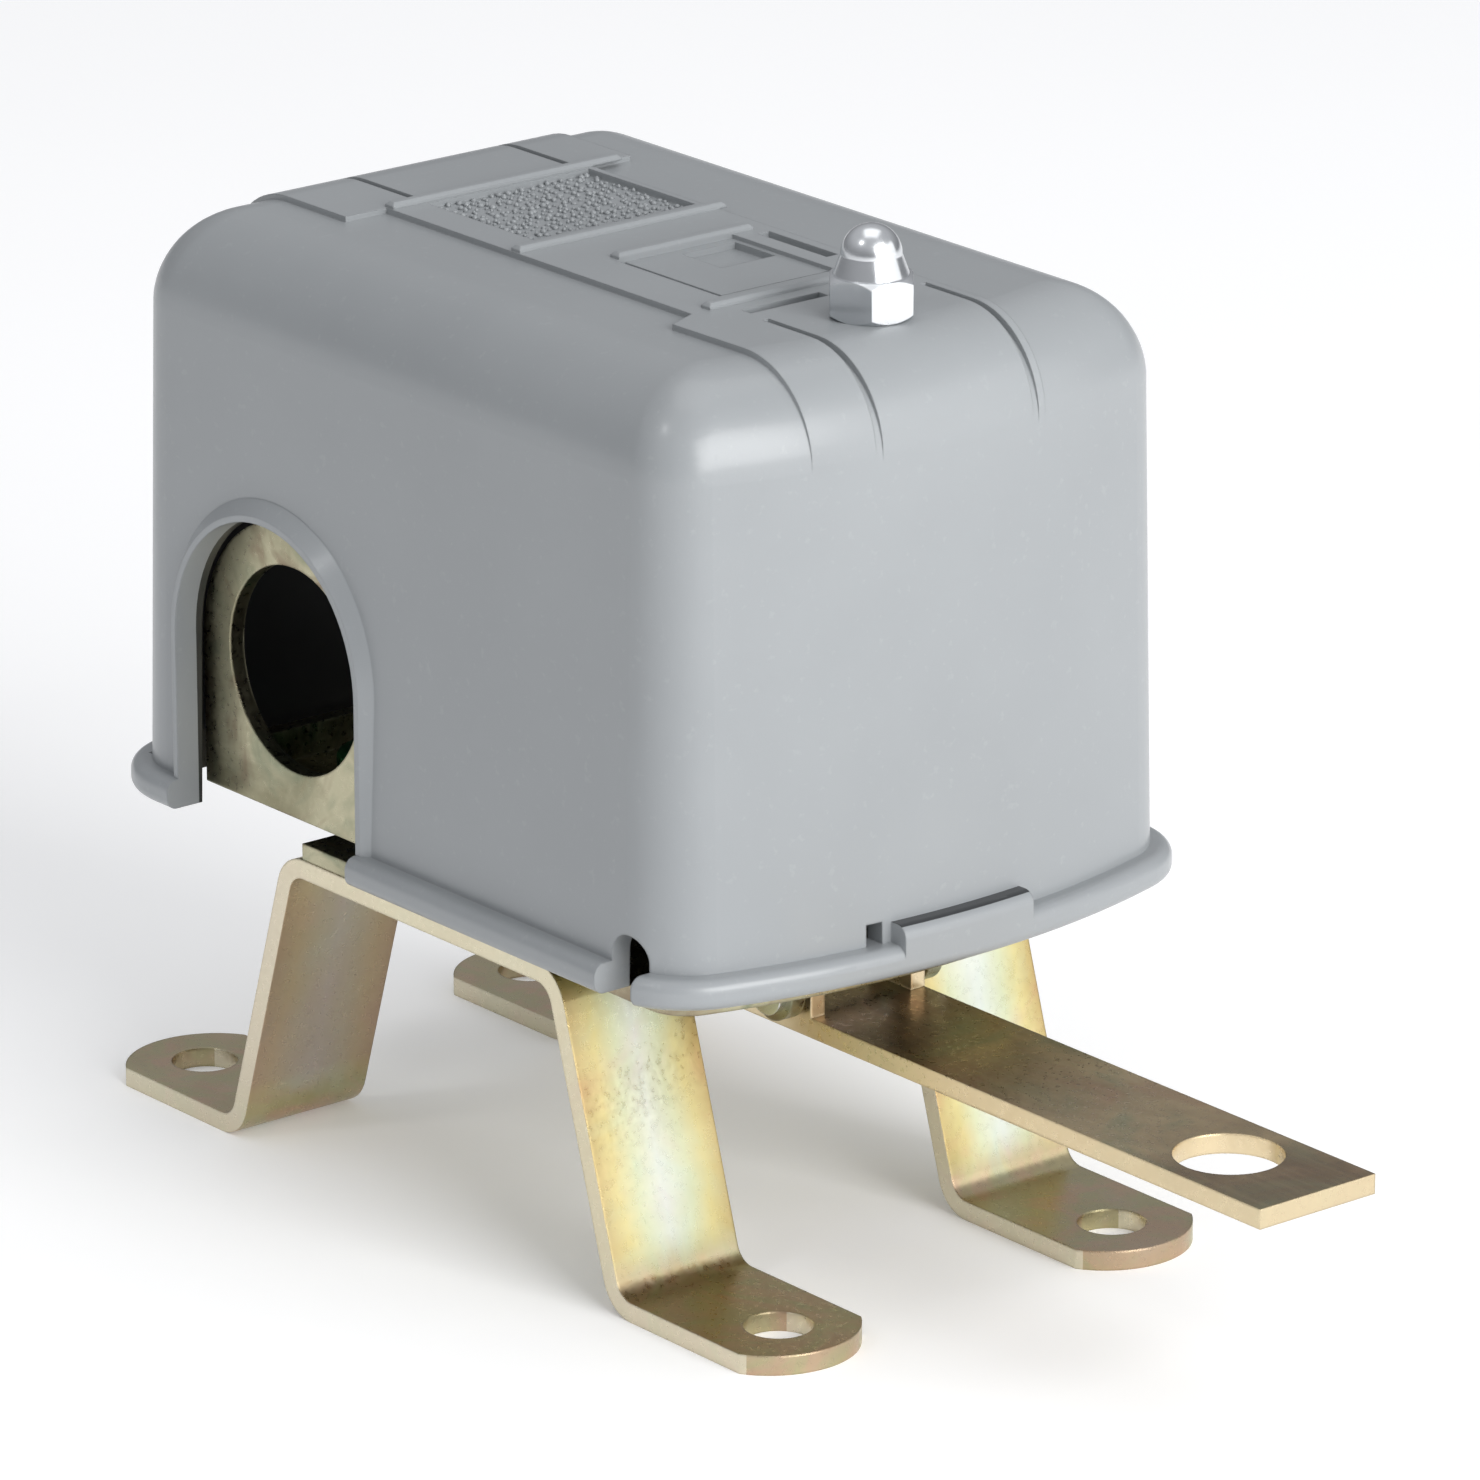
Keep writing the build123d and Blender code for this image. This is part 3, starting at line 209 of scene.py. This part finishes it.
def cover_plastic():
    """Satin grey moulded plastic with a fine grain and slight flow marks, painted near black inside as
    shade.
    """
    p = Painter("cover_plastic")
    cloud = p.noise(28.0, detail=3.0)
    grain = p.noise(2600.0, detail=2.0)
    speck = p.noise(900.0, detail=3.0)
    tone = p.ramp(cloud, [(0.3, (0.268, 0.283, 0.293)), (0.7, (0.292, 0.308, 0.318))])
    colour = p.mix(p.ramp(speck, [(0.62, 0.0), (0.72, 0.25)]), tone, (0.35, 0.365, 0.375))
    roughness = p.ramp(cloud, [(0.3, 0.36), (0.7, 0.44)])
    # Painted shade inside the cover: inner walls that look back at the cover's middle, and the roof,
    # painted near black
    outward = p.node("ShaderNodeVectorMath", operation="DOT_PRODUCT")
    from_middle = p.node("ShaderNodeVectorMath", operation="SUBTRACT")
    p.tree.links.new(p.place, from_middle.inputs[0])
    from_middle.inputs[1].default_value = middle("cover")
    p.tree.links.new(from_middle.outputs["Vector"], outward.inputs[0])
    p.tree.links.new(p.node("ShaderNodeNewGeometry").outputs["Normal"], outward.inputs[1])
    below_roof = p.math("LESS_THAN", p.axis("Z"), cover_low.z + inner_wall_height)
    above_rim = p.math("GREATER_THAN", p.axis("Z"), cover_low.z + rim_clearance)
    along = p.math("ABSOLUTE", p.math("SUBTRACT", p.axis("X"), inner_middle_x))
    above_rim = p.math("MAXIMUM", above_rim, p.math("LESS_THAN", along, inner_half_length))
    between_walls = p.math("LESS_THAN", p.math("ABSOLUTE", p.axis("Y")), inner_half_width)
    looks_in = p.math("LESS_THAN", outward.outputs["Value"], 0.0)
    wall = p.math("MULTIPLY", p.math("MULTIPLY", looks_in, below_roof),
                  p.math("MULTIPLY", above_rim, between_walls))
    roof = p.math("MULTIPLY", p.math("LESS_THAN", p.facing("Z"), -0.5),
                  p.math("SUBTRACT", 1.0, below_roof))
    inside = p.math("MAXIMUM", wall, roof)
    # near-black painted shade over the inner walls and the roof
    painted_shade_colour = p.mix(inside, colour, (0.018, 0.019, 0.021))
    p.relief(grain, 0.10, 0.00006, edge=0.0003)
    return p.finish(painted_shade_colour, roughness, Specular_IOR_Level=0.5, Coat_Weight=0.4, Coat_Roughness=0.2)


def chromate(name, bright, dark, cool, warm, patch_scale=42.0, seed=0.0):
    """Yellow chromate on zinc: olive and gold with drifting green, blue and mauve patches."""
    p = Painter(name)
    offset = p.node("ShaderNodeMapping")
    offset.inputs["Location"].default_value = (seed, -seed, seed)
    p.tree.links.new(p.place, offset.inputs["Vector"])
    p.place = offset.outputs["Vector"]
    drift = p.noise(patch_scale, detail=5.0, distortion=1.2)
    hue = p.noise(patch_scale * 1.7, detail=3.0, distortion=2.0)
    rolled = p.noise(90.0, detail=4.0, stretch=(1.0, 14.0, 1.0))
    fine = p.noise(1400.0, detail=2.0)
    base = p.mix(p.ramp(drift, [(0.38, 0.0), (0.62, 1.0)]), dark, bright)
    cooled = p.mix(p.ramp(hue, [(0.52, 0.0), (0.68, 0.7)]), base, cool)
    warmed = p.mix(p.ramp(hue, [(0.30, 0.75), (0.46, 0.0)]), cooled, warm)
    streaked = p.mix(p.ramp(rolled, [(0.45, 0.0), (0.7, 0.25)]), warmed, bright)
    roughness = p.ramp(fine, [(0.3, 0.24), (0.7, 0.40)])
    p.relief(p.mix(0.5, fine, rolled), 0.05, 0.00006, edge=0.00035)
    return p, streaked, roughness


def strap_chromate():
    """The straps: legs pale down the middle and golden at the edges, feet olive, rear legs mauve."""
    p, base, roughness = chromate(
        "chromate_strap",
        bright=(0.62, 0.57, 0.34),
        dark=(0.40, 0.36, 0.17),
        cool=(0.46, 0.54, 0.40),
        warm=(0.52, 0.31, 0.24),
    )
    from_strap = p.math("SUBTRACT", p.math("ABSOLUTE", raw_axis(p, "Y")), strap_middle_y)
    across = p.math("ABSOLUTE", from_strap)
    share = p.math("DIVIDE", across, strap_half_width)
    wander = p.noise(70.0, detail=3.0)
    share = p.math("ADD", share, p.math("MULTIPLY", p.math("SUBTRACT", wander, 0.5), 0.5))
    banded = p.ramp(
        share,
        [
            (0.0, (0.72, 0.79, 0.80)),
            (0.4, (0.66, 0.72, 0.52)),
            (0.7, (0.70, 0.60, 0.27)),
            (1.0, (0.52, 0.36, 0.14)),
        ],
    )
    height = p.math("DIVIDE", raw_axis(p, "Z"), strap_top)
    leg = p.ramp(height, [(0.09, 0.0), (0.2, 1.0), (0.9, 1.0), (1.0, 0.4)])
    legged = p.mix(p.math("MULTIPLY", leg, 0.62), base, banded)
    foot = p.ramp(height, [(0.07, 1.0), (0.16, 0.0)])
    patches = p.ramp(p.noise(120.0, detail=3.0, distortion=1.5), [(0.42, 0.0), (0.6, 1.0)])
    olive = p.mix(patches, (0.46, 0.41, 0.25), (0.54, 0.38, 0.27))
    footed = p.mix(p.math("MULTIPLY", foot, 0.8), legged, olive)
    rearward = p.math("MULTIPLY", raw_axis(p, "X"), -1.0 / strap_high.x)
    behind = p.ramp(rearward, [(0.2, 0.0), (0.45, 1.0)])
    mauve = p.mix(wander, (0.40, 0.24, 0.26), (0.46, 0.38, 0.27))
    footed = p.mix(p.math("MULTIPLY", p.math("MULTIPLY", behind, leg), 0.65), footed, mauve)
    sheared = p.math("GREATER_THAN", p.math("ABSOLUTE", p.facing("Y")), 0.8)
    colour = p.mix(p.math("MULTIPLY", sheared, 0.7), footed, (0.76, 0.71, 0.56))
    return p.finish(colour, roughness, metallic=1.0)


def frame_chromate():
    """The base frame and the channel: darker olive."""
    p, base, roughness = chromate(
        "chromate_frame",
        bright=(0.48, 0.45, 0.31),
        dark=(0.26, 0.24, 0.15),
        cool=(0.17, 0.21, 0.14),
        warm=(0.22, 0.15, 0.10),
        seed=1.3,
    )
    return p.finish(base, roughness, metallic=1.0)


def lever_chromate():
    """The lever arm: brown olive, with paler sheared edges."""
    p, base, roughness = chromate(
        "chromate_lever",
        bright=(0.56, 0.43, 0.25),
        dark=(0.28, 0.20, 0.12),
        cool=(0.30, 0.30, 0.18),
        warm=(0.44, 0.27, 0.17),
        patch_scale=30.0,
        seed=2.7,
    )
    sheared = p.math("LESS_THAN", p.math("ABSOLUTE", p.facing("Z")), 0.5)
    colour = p.mix(p.math("MULTIPLY", sheared, 0.75), base, (0.84, 0.70, 0.46))
    return p.finish(colour, roughness, metallic=1.0)


def plated(name, colour, low, high, scale=300.0, stretch=None, edge=0.00015):
    """Plated or drawn metal with fine handling marks."""
    p = Painter(name)
    marks = p.noise(scale, detail=5.0, stretch=stretch)
    smear = p.noise(scale / 6, detail=2.0)
    darker = tuple(part * 0.82 for part in colour)
    tone = p.mix(p.ramp(smear, [(0.35, 0.0), (0.65, 1.0)]), darker, colour)
    p.relief(marks, 0.08, 0.00004, edge=edge)
    return p.finish(tone, p.ramp(marks, [(0.3, low), (0.7, high)]), metallic=1.0)


def phenolic():
    """Black moulded phenolic with a faint mottled filler."""
    p = Painter("phenolic")
    filler = p.noise(700.0, detail=4.0)
    tone = p.ramp(filler, [(0.4, (0.012, 0.012, 0.013)), (0.75, (0.035, 0.033, 0.032))])
    p.relief(filler, 0.12, 0.00005, edge=0.0002)
    return p.finish(tone, p.ramp(filler, [(0.3, 0.28), (0.7, 0.42)]))


def green_screw():
    """Green coated ground screws."""
    p = Painter("green_screw")
    patch = p.noise(260.0, detail=4.0)
    tone = p.ramp(patch, [(0.35, (0.03, 0.20, 0.07)), (0.7, (0.10, 0.38, 0.16))])
    p.relief(patch, 0.1, 0.00004, edge=0.00015)
    return p.finish(tone, p.ramp(patch, [(0.3, 0.25), (0.7, 0.4)]), metallic=0.8)


finishes = {
    "cover_plastic": cover_plastic(),
    "chromate_strap": strap_chromate(),
    "chromate_frame": frame_chromate(),
    "chromate_lever": lever_chromate(),
    "bright_zinc": plated("bright_zinc", (0.78, 0.80, 0.82), 0.14, 0.28),
    "spring_steel": plated("spring_steel", (0.42, 0.41, 0.40), 0.25, 0.42),
    "phenolic": phenolic(),
    "brass": plated("brass", (0.72, 0.54, 0.24), 0.22, 0.36),
    "silver_contact": plated("silver_contact", (0.86, 0.85, 0.82), 0.18, 0.3),
    "copper_bridge": plated("copper_bridge", (0.72, 0.38, 0.24), 0.22, 0.36),
    "green_screw": green_screw(),
}
for subpart in frame["record"]["subparts"]:
    shown = nodes[subpart["node"]]
    shown.data.materials.clear()
    shown.data.materials.append(finishes[subpart["material_slot"]])

# ---- springs, threads and stipple -------------------------------------------


def piece(name, vertices, faces, slot):
    """A smooth mesh object with one of the finishes."""
    mesh = bpy.data.meshes.new(name)
    mesh.from_pydata(vertices, [], faces)
    mesh.update()
    for face in mesh.polygons:
        face.use_smooth = True
    made = bpy.data.objects.new(name, mesh)
    bpy.context.scene.collection.objects.link(made)
    mesh.materials.append(finishes[slot])
    return made


def coil(name, node, wire, turns, first=0.0, last=1.0, around=14, steps_per_turn=40):
    """Round wire wound inside a node's box with closed end turns, or a share of that coil."""
    low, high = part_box(node)
    centre = (low + high) / 2
    radius = (high.x - low.x - wire) / 2
    bottom = low.z + wire / 2
    rise = high.z - low.z - wire
    closed = 1.0 / turns
    closed_rise = wire / rise
    steps = int(turns * steps_per_turn)
    begin, end = round(first * steps), round(last * steps)

    def height(share):
        if share < closed:
            return closed_rise * share / closed
        if share > 1.0 - closed:
            return 1.0 - closed_rise * (1.0 - share) / closed
        return closed_rise + (1.0 - 2 * closed_rise) * (share - closed) / (1.0 - 2 * closed)

    vertices = []
    for step in range(begin, end + 1):
        share = step / steps
        angle = math.tau * turns * share
        out = Vector((math.cos(angle), math.sin(angle), 0.0))
        place = centre + out * radius
        place.z = bottom + rise * height(share)
        for corner in range(around):
            turn = math.tau * corner / around
            spot = place + (out * math.cos(turn) + Vector((0, 0, 1)) * math.sin(turn)) * wire / 2
            vertices.append(tuple(spot))
    rings = end - begin
    faces = []
    for ring in range(rings):
        for corner in range(around):
            after = (corner + 1) % around
            faces.append((ring * around + corner, ring * around + after,
                          (ring + 1) * around + after, (ring + 1) * around + corner))
    faces.append(tuple(reversed(range(around))))
    faces.append(tuple(rings * around + corner for corner in range(around)))
    return piece(name, vertices, faces, "spring_steel")


def pressed(spring):
    """Bakes a spring's placement into its mesh."""
    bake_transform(spring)


range_wire, range_turns = 0.0019, 7.5
differential_wire, differential_turns = 0.0011, 7.5
toggle_wire, toggle_turns = 0.0007, 4.5

range_coil = coil("range_coil", "range_spring", range_wire, range_turns)
pressed(range_coil)
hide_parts("range_spring")
differential_coil = coil("differential_coil", "differential_spring", differential_wire, differential_turns)
pressed(differential_coil)
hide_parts("differential_spring")
toggle_foot = coil("toggle_coil_foot", "toggle_spring", toggle_wire, toggle_turns, last=0.5)
pressed(toggle_foot)
toggle_head = coil("toggle_coil_head", "toggle_spring", toggle_wire, toggle_turns, first=0.5)
pressed(toggle_head)
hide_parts("toggle_spring")
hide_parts("toggle_spring")


def threaded(name, node, parts, pitch, depth, around=36):
    """A threaded stud: parts are (top, radius) from the bottom up, in a node's place."""
    low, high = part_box(node)
    centre = (low + high) / 2
    rows = []
    floor_z = low.z
    for top, radius in parts:
        count = max(2, round((top - floor_z) / (pitch / 6)))
        for number in range(count + 1):
            z = floor_z + (top - floor_z) * number / count
            edge = min(z - low.z, high.z - z, z - floor_z, top - z)
            rows.append((z, radius, depth, max(0.0, 1.0 - edge / (pitch / 2))))
        floor_z = top
    vertices = []
    for z, radius, groove, fade in rows:
        for corner in range(around):
            turn = corner / around
            wave = 0.5 - 0.5 * math.cos(math.tau * (z / pitch - turn))
            reach = radius - groove * max(wave, fade)
            angle = math.tau * turn
            vertices.append((centre.x + reach * math.cos(angle), centre.y + reach * math.sin(angle), z))
    faces = []
    for row in range(len(rows) - 1):
        for corner in range(around):
            after = (corner + 1) % around
            faces.append((row * around + corner, row * around + after,
                          (row + 1) * around + after, (row + 1) * around + corner))
    faces.append(tuple(reversed(range(around))))
    faces.append(tuple((len(rows) - 1) * around + corner for corner in range(around)))
    made = piece(name, vertices, faces, "bright_zinc")
    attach(made, "base")
    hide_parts(node)


range_shoulder_z = 0.0840
range_radius, neck_radius, differential_radius = 0.0030, 0.0021, 0.0018
coarse_pitch, coarse_depth = 0.0010, 0.00045
fine_pitch, fine_depth = 0.0007, 0.00035
threaded(
    "range_stud_thread",
    "range_stud",
    [(range_shoulder_z, range_radius), (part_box("range_stud")[1].z, neck_radius)],
    coarse_pitch,
    coarse_depth,
)
threaded(
    "differential_stud_thread",
    "differential_stud",
    [(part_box("differential_stud")[1].z, differential_radius)],
    fine_pitch,
    fine_depth,
)

# Stipple in the blank label recess on the cover
recess_low, recess_high = (-0.0236, -0.0088), (-0.0072, 0.0112)
recess_floor = 0.0997
pip_pitch = 0.00105
pip_sides = 6
pip_levels = ((-0.1, 1.0), (0.6, 0.75), (1.0, 0.3))     # share of height, share of width
pips = random.Random(7)
pip_vertices, pip_faces = [], []
pip_x = recess_low[0]
while pip_x < recess_high[0]:
    pip_y = recess_low[1]
    while pip_y < recess_high[1]:
        x = pip_x + pips.uniform(-0.3, 0.3) * pip_pitch
        y = pip_y + pips.uniform(-0.3, 0.3) * pip_pitch
        wide = pips.uniform(0.00022, 0.00045)
        tall = pips.uniform(0.0002, 0.00045)
        base_index = len(pip_vertices)
        twist = pips.uniform(0, math.tau)
        for level, share in pip_levels:
            for corner in range(pip_sides):
                angle = twist + math.tau * corner / pip_sides
                pip_vertices.append((
                    x + wide * share * math.cos(angle),
                    y + wide * share * math.sin(angle),
                    recess_floor + tall * level,
                ))
        for ring in range(len(pip_levels) - 1):
            for corner in range(pip_sides):
                after = (corner + 1) % pip_sides
                first = base_index + ring * pip_sides
                pip_faces.append((
                    first + corner,
                    first + after,
                    first + pip_sides + after,
                    first + pip_sides + corner,
                ))
        pip_faces.append(tuple(base_index + corner for corner in reversed(range(pip_sides))))
        top_index = base_index + (len(pip_levels) - 1) * pip_sides
        pip_faces.append(tuple(top_index + corner for corner in range(pip_sides)))
        pip_y += pip_pitch
    pip_x += pip_pitch
stipple = piece("recess_stipple", pip_vertices, pip_faces, "cover_plastic")
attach(stipple, "cover")

# ---- floor, light and camera -----------------------------------------------

camera_azimuth = math.radians(50.82)
camera_elevation = math.radians(18.83)
camera_distance = 1.0307
camera_target = Vector((0.0016, 0.0111, 0.0444))
camera_lens = 240.7
back = Vector((
    math.sin(camera_azimuth) * math.cos(camera_elevation),
    -math.cos(camera_azimuth) * math.cos(camera_elevation),
    math.sin(camera_elevation),
))
camera_data = bpy.data.cameras.new("camera")
camera_data.lens = camera_lens
camera_data.clip_start = 0.01
camera_data.clip_end = 20.0
camera = bpy.data.objects.new("camera", camera_data)
camera.location = camera_target + back * camera_distance
camera.rotation_euler = (-back).to_track_quat("-Z", "Y").to_euler()
bpy.context.scene.collection.objects.link(camera)
bpy.context.scene.camera = camera

floor_mesh = bpy.data.meshes.new("floor")
floor_half = 4.0
floor_mesh.from_pydata(
    [(x * floor_half, y * floor_half, 0.0) for x, y in ((-1, -1), (1, -1), (1, 1), (-1, 1))],
    [],
    [(0, 1, 2, 3)],
)
floor = bpy.data.objects.new("floor", floor_mesh)
bpy.context.scene.collection.objects.link(floor)
floor_painter = Painter("floor_paper")
floor_tone = floor_painter.ramp(floor_painter.noise(3.0), [(0.3, 0.93), (0.7, 0.95)])
floor.data.materials.append(floor_painter.finish(floor_tone, 0.9, Emission_Strength=0.14))


def softbox(name, direction, distance, size, power, colour=(1.0, 1.0, 1.0)):
    """A square area light that looks at the object's middle."""
    light = bpy.data.lights.new(name, "AREA")
    light.size = size
    light.energy = power
    light.color = colour
    lamp = bpy.data.objects.new(name, light)
    aim = (cad_low + cad_high) / 2
    towards = Vector(direction).normalized()
    lamp.location = aim + towards * distance
    lamp.rotation_euler = (-towards).to_track_quat("-Z", "Y").to_euler()
    bpy.context.scene.collection.objects.link(lamp)


softbox("key", (0.92, -0.02, 0.40), 1.5, 1.0, 21.0)
softbox("low_front", (0.79, 0.60, 0.16), 1.5, 1.4, 6.0)
softbox("top", (-0.1, 0.1, 1.0), 1.6, 1.2, 4.4)
softbox("corner", (-0.05, -0.66, 0.75), 1.5, 0.15, 1.2)

world = bpy.data.worlds.new("studio")
world.use_nodes = True
sky = world.node_tree
sky_place = sky.nodes.new("ShaderNodeTexCoord")
sky_parts = sky.nodes.new("ShaderNodeSeparateXYZ")
sky_ramp = sky.nodes.new("ShaderNodeValToRGB")
sky.links.new(sky_place.outputs["Generated"], sky_parts.inputs[0])
sky.links.new(sky_parts.outputs["Z"], sky_ramp.inputs["Fac"])
sky_ramp.color_ramp.elements[0].position = 0.15
sky_ramp.color_ramp.elements[0].color = (0.45, 0.46, 0.48, 1.0)
sky_ramp.color_ramp.elements[1].position = 0.6
sky_ramp.color_ramp.elements[1].color = (0.86, 0.87, 0.90, 1.0)
sky.links.new(sky_ramp.outputs["Color"], sky.nodes["Background"].inputs["Color"])
sky.nodes["Background"].inputs["Strength"].default_value = 0.6
bpy.context.scene.world = world
bpy.context.scene.view_settings.view_transform = "Standard"
